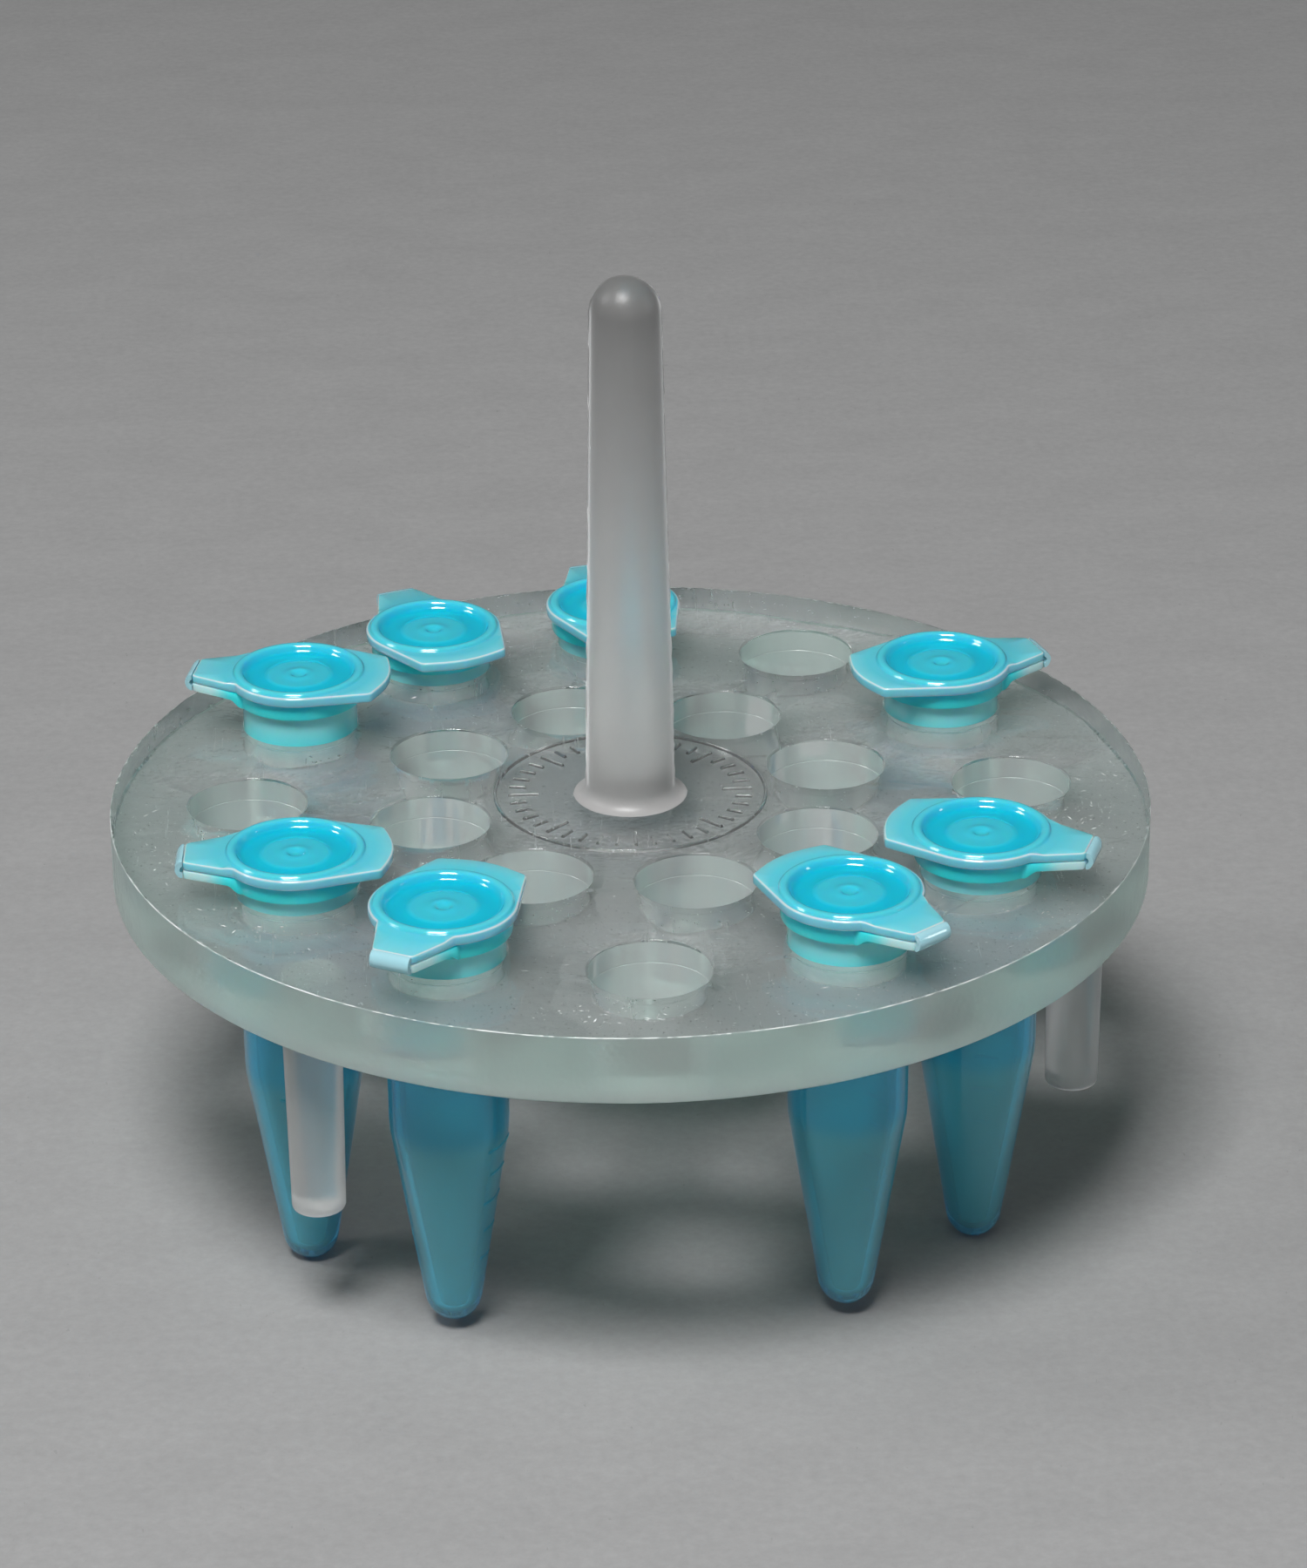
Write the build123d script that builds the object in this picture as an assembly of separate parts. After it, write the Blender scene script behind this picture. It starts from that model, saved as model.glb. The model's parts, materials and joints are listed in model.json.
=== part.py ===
from build123d import *
import os
from math import acos, atan2, cos, hypot, radians, sin

# Round bench rack of clear plastic that carries 1.5 ml snap-cap microcentrifuge tubes.
# Millimetres, +Z up. The origin is on the disc's axis, at the level that the lowest
# tube tips stand on. The rack hangs on the tubes' tapers, so its legs end in the air.

# Rack
plate_diameter = 95.0
plate_thickness = 6.35
plate_top = 37.4                 # height of the plate's top face
plate_edge_chamfer = 0.3
place_diameter = 10.8            # a hole that takes one tube
outer_places, outer_pitch_radius, outer_start = 12, 35.0, -90.0
inner_places, inner_pitch_radius, inner_start = 8, 19.0, -75.0

handle_height = 50.0             # above the plate
handle_base_radius = 4.0
handle_top_radius = 3.15         # also the radius of the rounded end
handle_base_fillet = 1.7

leg_count = 3
leg_pitch_radius = 41.3
leg_start = -135.0
leg_length = 19.2
leg_top_radius = 2.65
leg_end_radius = 2.4

# Tube, with its own zero at the tip
tip_radius = 2.5
shoulder_height, shoulder_radius = 19.5, 5.27     # where the cone meets the barrel
collar_bottom, barrel_top_radius = 38.7, 5.38
mouth_height = 40.2
collar_radius = 6.0
bore_tip_radius = 1.4
tip_wall = 1.2
bore_shoulder_radius = 4.3
bore_mouth_radius = 4.6
mouth_lead_in = 0.2
collar_round = 0.3
same_radius = 0.01               # edges whose radii differ by less are equal

# Cap, strap and living hinge
cap_radius = 6.5
cap_gap = 0.05                   # between the collar and the closed cap
cap_rim_height = 1.25            # of the raised rim, above the cap's underside
cap_floor_height = 0.65          # of the recessed top inside the rim
cap_rim_inner_radius = 5.4
cap_edge_chamfer = 0.25
lip_reach, lip_corner_reach, lip_half_width = 8.65, 7.7, 4.3
lip_height = 1.0
plug_top_radius, plug_end_radius, plug_bore_radius = 4.5, 4.2, 3.6
plug_depth = 2.85
strap_thickness = 0.8
strap_gap = 0.03                 # half of the gap between the two folded layers
strap_root_reach, strap_root_half_width = 4.9, 3.9
strap_cut_radius = 5.5           # the upper layer starts here, inside the cap's edge
fold_reach = 9.9                 # of the fold line, from the tube's axis
fold_half_width = 1.9

# The filled places of the outer ring: place number, how far the strap is turned from
# pointing straight outwards, and how high above the table the tip was left hanging
tubes = [
    (1, 9.0, 1.0),
    (2, 10.0, 0.0),
    (4, -12.0, 0.8),
    (6, 12.0, 0.0),
    (7, -9.0, 0.0),
    (8, 19.0, 1.5),
    (10, -32.0, 0.0),
    (11, 3.0, 0.75),
]

plate_bottom = plate_top - plate_thickness
cap_bottom = mouth_height + cap_gap


def on_ring(radius, angle, height=0.0):
    """A point at a radius and an angle around the disc's axis."""
    return Pos(radius * cos(radians(angle)), radius * sin(radians(angle)), height)


def turned(points_and_arcs):
    """The solid that a closed half profile in XZ sweeps around the Z axis."""
    return revolve(Plane.XZ * make_face(points_and_arcs), Axis.Z)


def round_tip_join(tip, centre_height, radius, height):
    """Where a line through (radius, height) touches a round tip of radius tip, and the tip's side point."""
    rise = height - centre_height
    lean = acos(tip / hypot(radius, rise)) - atan2(rise, radius)
    side = (tip * cos(lean), centre_height - tip * sin(lean))
    middle = radians(45) + lean / 2
    halfway = (tip * sin(radians(90) - middle), centre_height - tip * sin(middle))
    return halfway, side


def make_plate():
    """A disc with broken edges and two rings of round places."""
    disc = Pos(0, 0, plate_bottom) * extrude(Circle(plate_diameter / 2), plate_thickness)
    disc = chamfer(disc.edges(), plate_edge_chamfer)
    places = [
        on_ring(pitch, start + 360 * i / count, plate_bottom)
        for count, pitch, start in (
            (outer_places, outer_pitch_radius, outer_start),
            (inner_places, inner_pitch_radius, inner_start),
        )
        for i in range(count)
    ]
    hole = extrude(Circle(place_diameter / 2), plate_thickness)
    return disc - [place * hole for place in places]


def make_handle():
    """A tapered round post with a domed end, flared where it stands on the plate."""
    top = plate_top + handle_height
    shoulder = top - handle_top_radius
    foot = plate_top + handle_base_fillet
    flare = handle_base_radius + handle_base_fillet
    bow = handle_base_fillet * (1 - cos(radians(45)))
    edge = (
        Line((0, plate_top), (flare, plate_top))
        + ThreePointArc(
            (flare, plate_top), (handle_base_radius + bow, plate_top + bow), (handle_base_radius, foot)
        )
        + Line((handle_base_radius, foot), (handle_top_radius, shoulder))
        + ThreePointArc(
            (handle_top_radius, shoulder),
            (handle_top_radius * cos(radians(45)), shoulder + handle_top_radius * sin(radians(45))),
            (0, top),
        )
        + Line((0, top), (0, plate_top))
    )
    return turned(edge)


def make_leg(number):
    """A short tapered round leg, flat at its end, that hangs under the plate's rim."""
    cone = Cone(leg_end_radius, leg_top_radius, leg_length, align=(Align.CENTER, Align.CENTER, Align.MIN))
    angle = leg_start + 360 * number / leg_count
    return on_ring(leg_pitch_radius, angle, plate_bottom - leg_length) * cone


def strap(bottom, top):
    """One layer of the strap, from under the collar or cap out to the fold line."""
    outline = Polyline(
        (strap_root_reach, -strap_root_half_width),
        (fold_reach, -fold_half_width),
        (fold_reach, fold_half_width),
        (strap_root_reach, strap_root_half_width),
        close=True,
    )
    return Pos(0, 0, bottom) * extrude(make_face(outline), top - bottom)


def make_tube():
    """A hollow snap-cap tube: round tip, cone, slightly tapered barrel, collar and lower strap."""
    halfway, side = round_tip_join(tip_radius, tip_radius, shoulder_radius, shoulder_height)
    outside = (
        ThreePointArc((0, 0), halfway, side)
        + Polyline(
            side,
            (shoulder_radius, shoulder_height),
            (barrel_top_radius, collar_bottom),
            (collar_radius, collar_bottom),
            (collar_radius, mouth_height),
            (0, mouth_height),
            (0, 0),
        )
    )
    halfway, side = round_tip_join(
        bore_tip_radius, tip_wall + bore_tip_radius, bore_shoulder_radius, shoulder_height
    )
    inside = (
        ThreePointArc((0, tip_wall), halfway, side)
        + Polyline(
            side,
            (bore_shoulder_radius, shoulder_height),
            (bore_mouth_radius, mouth_height - mouth_lead_in),
            (bore_mouth_radius + mouth_lead_in, mouth_height),
            (0, mouth_height),
            (0, tip_wall),
        )
    )
    body = turned(outside)
    rings = body.edges().filter_by(GeomType.CIRCLE)
    collar = [ring for ring in rings if abs(ring.radius - collar_radius) < same_radius]
    body = fillet(collar, collar_round)
    body += strap(mouth_height - strap_gap - strap_thickness, mouth_height - strap_gap)
    return body - turned(inside)


def cap_outline():
    """The cap's round edge run out to a wide thumb lip, opposite the strap."""
    disc = Circle(cap_radius)
    corner = Vector(-lip_corner_reach, lip_half_width)
    turn = acos(cap_radius / corner.length)
    lean = atan2(corner.Y, corner.X) - turn
    touch = Vector(cap_radius * cos(lean), cap_radius * sin(lean))
    edge = (
        Polyline((0, 0), (touch.X, touch.Y), (corner.X, corner.Y))
        + ThreePointArc((corner.X, corner.Y), (-lip_reach, 0), (corner.X, -corner.Y))
        + Polyline((corner.X, -corner.Y), (touch.X, -touch.Y), (0, 0))
    )
    return disc + make_face(edge)


def make_cap():
    """A snap cap: lipped disc, raised rim round a recessed top, hollow plug and upper strap."""
    disc = Pos(0, 0, cap_bottom) * extrude(cap_outline(), lip_height)
    top = cap_bottom + cap_rim_height
    rim = turned(
        Polyline(
            (0, cap_bottom),
            (cap_radius, cap_bottom),
            (cap_radius, top - cap_edge_chamfer),
            (cap_radius - cap_edge_chamfer, top),
            (0, top),
            close=True,
        )
    )
    recess = turned(
        Polyline(
            (0, cap_bottom + cap_floor_height),
            (cap_rim_inner_radius - cap_edge_chamfer, cap_bottom + cap_floor_height),
            (cap_rim_inner_radius, top),
            (0, top),
            close=True,
        )
    )
    plug = turned(
        Polyline(
            (plug_bore_radius, cap_bottom),
            (plug_top_radius, cap_bottom),
            (plug_end_radius, cap_bottom - plug_depth),
            (plug_bore_radius, cap_bottom - plug_depth),
            close=True,
        )
    )
    layer = strap(mouth_height + strap_gap, mouth_height + strap_gap + strap_thickness)
    layer -= Pos(0, 0, mouth_height) * extrude(Circle(strap_cut_radius), cap_rim_height)
    return disc + rim - recess + plug + layer


def make_hinge():
    """The thin web that joins the two straps, bent round the fold line of the closed cap."""
    width = fold_half_width * 2
    outer_half = Box(width, width, width, align=(Align.MIN, Align.CENTER, Align.MIN))
    half_round = extrude(Circle(strap_thickness + strap_gap), width) & outer_half
    return Pos(fold_reach, fold_half_width, mouth_height) * Rot(90, 0, 0) * half_round


def save(shape, name):
    """Write one named piece."""
    export_step(shape, f"parts/{name}.step")


os.makedirs("parts", exist_ok=True)
save(make_plate(), "rack_plate")
save(make_handle(), "handle")
for number in range(leg_count):
    save(make_leg(number), f"leg_{number + 1}")

tube, cap, hinge = make_tube(), make_cap(), make_hinge()
for number, (place, strap_turn, lift) in enumerate(tubes, start=1):
    angle = outer_start + 360 * place / outer_places
    seat = on_ring(outer_pitch_radius, angle, lift) * Rot(0, 0, angle + strap_turn)
    save(seat * tube, f"tube_{number}")
    save(seat * cap, f"cap_{number}")
    save(seat * hinge, f"hinge_{number}")
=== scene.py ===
"""A round clear tube rack with eight blue snap-cap tubes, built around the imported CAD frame."""

import json
import math
import random

import bmesh
import bpy
import numpy as np
from mathutils import Matrix, Vector, geometry, noise


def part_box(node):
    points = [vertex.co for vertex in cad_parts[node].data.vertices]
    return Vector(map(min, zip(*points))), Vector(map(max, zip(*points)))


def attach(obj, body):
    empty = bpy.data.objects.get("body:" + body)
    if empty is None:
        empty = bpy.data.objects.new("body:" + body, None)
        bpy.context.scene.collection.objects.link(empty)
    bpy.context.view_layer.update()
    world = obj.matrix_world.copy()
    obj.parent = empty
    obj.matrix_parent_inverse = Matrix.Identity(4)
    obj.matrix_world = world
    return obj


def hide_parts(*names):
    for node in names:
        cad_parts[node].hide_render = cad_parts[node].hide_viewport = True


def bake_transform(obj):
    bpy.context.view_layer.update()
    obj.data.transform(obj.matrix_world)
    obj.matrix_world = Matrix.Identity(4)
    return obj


MM = 0.001

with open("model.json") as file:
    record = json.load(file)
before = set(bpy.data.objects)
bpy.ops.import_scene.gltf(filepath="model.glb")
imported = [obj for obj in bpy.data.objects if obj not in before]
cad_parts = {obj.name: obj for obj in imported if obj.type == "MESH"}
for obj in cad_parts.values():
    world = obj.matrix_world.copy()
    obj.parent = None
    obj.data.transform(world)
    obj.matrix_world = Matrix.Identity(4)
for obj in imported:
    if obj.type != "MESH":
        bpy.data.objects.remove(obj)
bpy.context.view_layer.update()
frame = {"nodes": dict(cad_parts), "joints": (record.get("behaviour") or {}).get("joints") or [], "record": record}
record = frame["record"]
joints = {joint["name"]: joint for joint in frame["joints"]}

# Places taken from the frame, in millimetres
plate_low, plate_high = (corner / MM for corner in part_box("rack_plate"))
PLATE_RADIUS = (plate_high.x - plate_low.x) / 2
PLATE_TOP, PLATE_BOTTOM = plate_high.z, plate_low.z
empty_places = [mount for mount in record["mounts"] if mount["kind"] == "bore"]
PLACE_RADIUS = empty_places[0]["dims"]["r_mm"]
TUBES = sorted(name for name in frame["nodes"] if name.startswith("tube_"))

# Tube and cap, in millimetres, with zero at the tip of a tube and at the fold of its strap
FOLD_REACH = 9.9
MOUTH = 40.2
CAP_BOTTOM = MOUTH + 0.05
CAP_RADIUS = 6.5
COLLAR_RADIUS = 6.0
TIP_RADIUS, TIP_WALL, BORE_TIP_RADIUS = 2.5, 1.2, 1.4
SHOULDER, SHOULDER_RADIUS, BORE_SHOULDER_RADIUS = 19.5, 5.27, 4.3
COLLAR_BOTTOM, BARREL_TOP_RADIUS, BORE_MOUTH_RADIUS = 38.7, 5.38, 4.6
STRAP_THICKNESS, STRAP_GAP = 0.8, 0.03
STRAP_ROOT_REACH, STRAP_ROOT_HALF_WIDTH, FOLD_HALF_WIDTH = 4.9, 3.9, 1.9
LIP_CORNER_REACH, LIP_HALF_WIDTH, LIP_BOW = 7.7, 4.3, 0.95
TURNS = 360
GLOW_PAINTED_FROM = 31.2   # height on a tube where its upper part starts: a paler, glowing copy of the blue plastic, painted light in and above the plate and on the collar
STEP_DEPTH = 2.2     # of the fine mould line in the walls of the places
PLATE_TINT, TINT_DENSITY = (0.972, 0.991, 0.986), 22
PLASTIC_IOR = 1.49


# ---------------------------------------------------------------- mesh helpers

def new_object(name, mesh):
    """Link a mesh to the scene as a named object."""
    obj = bpy.data.objects.new(name, mesh)
    bpy.context.scene.collection.objects.link(obj)
    return obj


def finish_mesh(mesh, sharp_degrees=35):
    """Consistent outward normals, smooth shading and sharp creases."""
    work = bmesh.new()
    work.from_mesh(mesh)
    bmesh.ops.recalc_face_normals(work, faces=work.faces)
    work.to_mesh(mesh)
    work.free()
    mesh.shade_smooth()
    mesh.set_sharp_from_angle(angle=math.radians(sharp_degrees))


def polar_mesh(name, rings, angles):
    """A closed surface from rings round Z: each ring is a radius and a height, numbers or one per angle.

    The first and last rings are single points on the axis.
    """
    points, faces = [], []
    count = len(angles)
    cosines, sines = np.cos(angles), np.sin(angles)
    for radius, height in rings[1:-1]:
        radius = np.broadcast_to(np.asarray(radius, float), (count,))
        height = np.broadcast_to(np.asarray(height, float), (count,))
        points += list(np.stack([radius * cosines, radius * sines, height], 1) * MM)
    for ring in range(len(rings) - 3):
        for i in range(count):
            j = (i + 1) % count
            a, b = ring * count, (ring + 1) * count
            faces.append((a + i, a + j, b + j, b + i))
    first, last = len(points), len(points) + 1
    points += [(0, 0, rings[0][1] * MM), (0, 0, rings[-1][1] * MM)]
    base = (len(rings) - 3) * count
    for i in range(count):
        j = (i + 1) % count
        faces.append((first, j, i))
        faces.append((last, base + i, base + j))
    mesh = bpy.data.meshes.new(name)
    mesh.from_pydata([tuple(p) for p in points], [], faces)
    mesh.validate()
    finish_mesh(mesh)
    return mesh


def arc(centre, radius, start, end, steps):
    """Points of a circle's arc in the (radius, height) plane, from one angle to another in degrees."""
    turn = np.radians(np.linspace(start, end, steps))
    return [(centre[0] + radius * math.cos(t), centre[1] + radius * math.sin(t)) for t in turn]


def line(start, end, steps):
    """Points from start to end, without start."""
    return [tuple(np.add(start, np.subtract(end, start) * i / steps)) for i in range(1, steps + 1)]


def ease(value, low, high):
    """0 below low, 1 above high, smooth between."""
    t = np.clip((value - low) / (high - low), 0, 1)
    return t * t * (3 - 2 * t)


def even_angles(count):
    """Angles spread evenly over a full turn, in radians."""
    return np.linspace(0, 2 * math.pi, count, endpoint=False)


# ---------------------------------------------------------------- material helpers

def new_material(name):
    """A material with its node tree and its Principled node."""
    mat = bpy.data.materials.new(name)
    mat.use_nodes = True
    return mat, mat.node_tree, mat.node_tree.nodes["Principled BSDF"]


def node(tree, kind, **settings):
    """A shader node with its properties and, by input name, its values or links."""
    made = tree.nodes.new(kind)
    for key, value in settings.items():
        if key == "inputs":
            for socket, given in value.items():
                if isinstance(given, bpy.types.NodeSocket):
                    tree.links.new(given, made.inputs[socket])
                else:
                    made.inputs[socket].default_value = given
        else:
            setattr(made, key, value)
    return made


def object_coords(tree, stretch=(1, 1, 1)):
    """Object coordinates in millimetres, stretched along the axes."""
    coords = node(tree, "ShaderNodeTexCoord")
    scale = tuple(s / MM for s in stretch)
    mapping = node(
        tree, "ShaderNodeMapping", inputs={"Vector": coords.outputs["Object"], "Scale": scale},
    )
    return mapping.outputs["Vector"]


def noise_of(tree, vector, scale, detail, roughness=0.6):
    """Noise from 0 to 1, with scale features in a millimetre."""
    made = node(
        tree, "ShaderNodeTexNoise",
        inputs={"Vector": vector, "Scale": scale, "Detail": detail, "Roughness": roughness},
    )
    return made.outputs["Fac"]


def ramp(tree, factor, stops):
    """A colour ramp with (position, grey or colour) stops."""
    made = node(tree, "ShaderNodeValToRGB", inputs={"Fac": factor})
    elements = made.color_ramp.elements
    while len(elements) < len(stops):
        elements.new(0.5)
    for element, (position, colour) in zip(elements, stops):
        element.position = position
        grey = (colour, colour, colour) if isinstance(colour, (int, float)) else colour
        element.color = (*grey, 1)
    return made.outputs["Color"]


def maths(tree, operation, *values):
    """One sum with sockets or numbers."""
    return node(tree, "ShaderNodeMath", operation=operation, inputs=dict(enumerate(values))).outputs[0]


def bumps(tree, shader, layers):
    """Stack bump layers of (height, strength, distance in millimetres) into the shader's normal."""
    normal = None
    for height, strength, distance in layers:
        inputs = {"Height": height, "Strength": strength, "Distance": distance * MM}
        if normal is not None:
            inputs["Normal"] = normal
        normal = node(tree, "ShaderNodeBump", inputs=inputs).outputs["Normal"]
    tree.links.new(normal, shader.inputs["Normal"])


def absorb(tree, colour, density):
    """Tint the inside of a piece by its depth."""
    volume = node(tree, "ShaderNodeVolumeAbsorption", inputs={"Color": (*colour, 1), "Density": density})
    tree.links.new(volume.outputs["Volume"], tree.nodes["Material Output"].inputs["Volume"])


def scratches(tree, angle, spacing, length, keep):
    """Thin broken lines along one direction of the XY plane, as 0 or 1."""
    coords = node(tree, "ShaderNodeTexCoord")
    mapping = node(
        tree, "ShaderNodeMapping",
        inputs={
            "Vector": coords.outputs["Object"],
            "Rotation": (0, 0, math.radians(angle)),
            "Scale": (1 / (spacing * MM), 1 / (length * MM), 1 / (length * MM)),
        },
    )
    warped = noise_of(tree, mapping.outputs["Vector"], 1.0, 3.0, 0.55)
    return ramp(tree, warped, [(0, 0), (keep, 0), (keep + 0.015, 1), (keep + 0.03, 0)])


# ---------------------------------------------------------------- materials

def clear_top_material():
    """The plate's polished faces: clear, with fine scratches, scuffs and dust specks."""
    mat, tree, shader = new_material("clear_plastic_polished")
    place = object_coords(tree)
    fine = noise_of(tree, place, 0.35, 5.0)
    cuts = maths(tree, "MAXIMUM", scratches(tree, -70, 0.5, 9, 0.68), scratches(tree, 98, 0.6, 14, 0.69))
    worn = ramp(tree, noise_of(tree, place, 0.05, 3.0), [(0, 0), (0.42, 0.15), (0.62, 1), (1, 1)])
    dust = noise_of(tree, place, 1.6, 2.0, 0.8)
    specks = ramp(tree, dust, [(0, 0), (0.66, 0), (0.70, 1), (1, 1)])
    marks = maths(tree, "MULTIPLY", maths(tree, "MAXIMUM", cuts, specks), worn)
    rough = maths(tree, "MULTIPLY_ADD", fine, 0.14, 0.02)
    scored = maths(tree, "MAXIMUM", rough, maths(tree, "MULTIPLY", marks, 0.8))
    tree.links.new(scored, shader.inputs["Roughness"])
    tint = node(
        tree, "ShaderNodeMix", data_type="RGBA",
        inputs={0: fine, 6: (0.92, 0.94, 0.94, 1), 7: (0.98, 0.99, 0.99, 1)},
    )
    tree.links.new(tint.outputs[2], shader.inputs["Base Color"])
    shader.inputs["Transmission Weight"].default_value = 0.97
    shader.inputs["IOR"].default_value = PLASTIC_IOR
    wave = noise_of(tree, place, 0.12, 2.0)
    bumps(tree, shader, [(wave, 0.5, 0.35), (fine, 0.25, 0.08), (marks, 0.4, 0.03)])
    absorb(tree, PLATE_TINT, TINT_DENSITY)
    return mat


def frosted_material(
        name, tint, *, roughness, grain, clearness, relief=0.35, in_plate=False, painted_top_shade=None, haze=0.0):
    """Matte moulded or sawn plastic that scatters the light it lets through.

    The painted top shade is given as a low and a high height in millimetres and a factor; it darkens the tint more
    and more from the low height to the high one.
    in_plate is for the plate's own faces: a coarser surface over the plate's inner tint.
    """
    mat, tree, shader = new_material(name)
    coarse = noise_of(tree, object_coords(tree), 0.25, 3.0)
    fine = noise_of(tree, object_coords(tree), grain, 3.0)
    colour = node(
        tree, "ShaderNodeMix", data_type="RGBA",
        inputs={0: coarse, 6: (*[c * 0.90 for c in tint], 1), 7: (*tint, 1)},
    ).outputs[2]
    # Painted shade: the tint grows darker up the piece, between the two heights
    if painted_top_shade:
        low, high, factor = painted_top_shade
        height = node(tree, "ShaderNodeSeparateXYZ", inputs={0: object_coords(tree)}).outputs["Z"]
        part = node(
            tree, "ShaderNodeMapRange", inputs={0: height, 1: low, 2: high, 3: 0, 4: 1},
        ).outputs[0]
        colour = node(
            tree, "ShaderNodeMix", data_type="RGBA", blend_type="MULTIPLY",
            inputs={0: part, 6: colour, 7: (factor, factor, factor, 1)},
        ).outputs[2]
    tree.links.new(colour, shader.inputs["Base Color"])
    rough = maths(tree, "MULTIPLY_ADD", fine, 0.16, roughness - 0.08)
    tree.links.new(rough, shader.inputs["Roughness"])
    shader.inputs["Transmission Weight"].default_value = clearness
    shader.inputs["IOR"].default_value = PLASTIC_IOR
    shader.inputs["Sheen Weight"].default_value = haze
    shader.inputs["Sheen Roughness"].default_value = 0.3
    waves = (coarse, 0.5, 0.4) if in_plate else (coarse, 0.2, 0.1)
    bumps(tree, shader, [waves, (fine, relief, 0.04)])
    if in_plate:
        absorb(tree, PLATE_TINT, TINT_DENSITY)
    return mat


def blue_material(
        name, shades, *, inside, density, roughness, clearness, glow, gloss, haze=0.0, shine=0.5):
    """Translucent blue polypropylene, coloured from edge through pale to deep by the mesh's "depth"; where it
    reaches the near-white edge shade, as along the caps' outline, that is a painted glow and highlight.
    """
    mat, tree, shader = new_material(name)
    flow = noise_of(tree, object_coords(tree, (1, 1, 0.3)), 0.35, 3.0)
    fine = noise_of(tree, object_coords(tree), 4.0, 2.0)
    depth = node(tree, "ShaderNodeAttribute", attribute_name="depth").outputs["Fac"]
    edge, pale, deep = shades
    colour = ramp(tree, depth, [(0, edge), (0.5, pale), (1, deep)])
    mottled = node(
        tree, "ShaderNodeMix", data_type="RGBA", blend_type="MULTIPLY",
        inputs={0: maths(tree, "MULTIPLY", flow, 0.3), 6: colour, 7: (0.75, 0.9, 0.95, 1)},
    )
    tree.links.new(mottled.outputs[2], shader.inputs["Base Color"])
    rough = maths(tree, "MULTIPLY_ADD", flow, 0.12, roughness - 0.06)
    tree.links.new(rough, shader.inputs["Roughness"])
    shader.inputs["Transmission Weight"].default_value = clearness
    shader.inputs["IOR"].default_value = PLASTIC_IOR
    shader.inputs["Subsurface Weight"].default_value = glow
    shader.inputs["Subsurface Radius"].default_value = (0.25, 1.0, 1.3)
    shader.inputs["Subsurface Scale"].default_value = 0.5 * MM
    shader.inputs["Specular IOR Level"].default_value = shine
    shader.inputs["Coat Weight"].default_value = gloss
    shader.inputs["Coat Roughness"].default_value = 0.04
    shader.inputs["Sheen Weight"].default_value = haze
    shader.inputs["Sheen Roughness"].default_value = 0.14
    shader.inputs["Sheen Tint"].default_value = (0.0, 0.62, 1.0, 1)
    bumps(tree, shader, [(flow, 0.15, 0.1), (fine, 0.08, 0.02)])
    absorb(tree, inside, density)
    return mat


def wall_material():
    """The moulded walls of the places: smooth satin, with faint streaks along the pull of the mould."""
    mat, tree, shader = new_material("clear_plastic_wall")
    streaks = noise_of(tree, object_coords(tree, (1, 1, 0.12)), 0.9, 3.0)
    colour = ramp(tree, streaks, [(0.3, (0.95, 0.96, 0.96)), (0.7, (0.97, 0.98, 0.98))])
    tree.links.new(colour, shader.inputs["Base Color"])
    rough = maths(tree, "MULTIPLY_ADD", streaks, 0.06, 0.13)
    tree.links.new(rough, shader.inputs["Roughness"])
    shader.inputs["Transmission Weight"].default_value = 0.62
    shader.inputs["IOR"].default_value = PLASTIC_IOR
    bumps(tree, shader, [(streaks, 0.02, 0.01)])
    absorb(tree, PLATE_TINT, TINT_DENSITY)
    return mat


def paper_material():
    """Pale grey card with a faint grain and a few dark fibres."""
    mat, tree, shader = new_material("pale_card")
    grain = noise_of(tree, object_coords(tree), 0.9, 6.0, 0.7)
    fibres = noise_of(tree, object_coords(tree, (1, 0.4, 1)), 1.3, 2.0, 0.7)
    dark = ramp(tree, fibres, [(0, 0), (0.70, 0), (0.76, 1), (1, 1)])
    colour = ramp(tree, grain, [(0.3, (0.29, 0.29, 0.29)), (0.7, (0.33, 0.33, 0.33))])
    flecked = node(
        tree, "ShaderNodeMix", data_type="RGBA",
        inputs={0: maths(tree, "MULTIPLY", dark, 0.35), 6: colour, 7: (0.2, 0.2, 0.2, 1)},
    )
    cloudy = ramp(
        tree, noise_of(tree, object_coords(tree, (0.6, 1, 1)), 0.12, 6.0, 0.7),
        [(0.3, (0.92, 0.92, 0.92)), (0.7, (1.0, 1.0, 1.0))],
    )
    stained = node(
        tree, "ShaderNodeMix", data_type="RGBA", blend_type="MULTIPLY",
        inputs={0: 1.0, 6: flecked.outputs[2], 7: cloudy},
    )
    tree.links.new(stained.outputs[2], shader.inputs["Base Color"])
    shader.inputs["Roughness"].default_value = 0.85
    shader.inputs["Specular IOR Level"].default_value = 0.2
    bumps(tree, shader, [(grain, 0.25, 0.12)])
    return mat


# ---------------------------------------------------------------- rack

def flat_with_holes(outer, holes):
    """Triangles of a flat face inside the outer loop and outside the holes, as (points, triangles)."""
    points = [Vector(p) for loop in [outer, *holes] for p in loop]
    edges, base = [], 0
    for loop in [outer, *holes]:
        edges += [(base + i, base + (i + 1) % len(loop)) for i in range(len(loop))]
        base += len(loop)
    made, _, triangles, *_ = geometry.delaunay_2d_cdt(points, edges, [], 0, 1e-6)
    return made, triangles


def place_centres():
    """The centres of all the places, first the empty ones and then the filled ones."""
    empty = [(place["pos_m"][0] / MM, place["pos_m"][1] / MM) for place in empty_places]
    return empty + [tuple(seat_of(name)[0][:2]) for name in TUBES]


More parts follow.
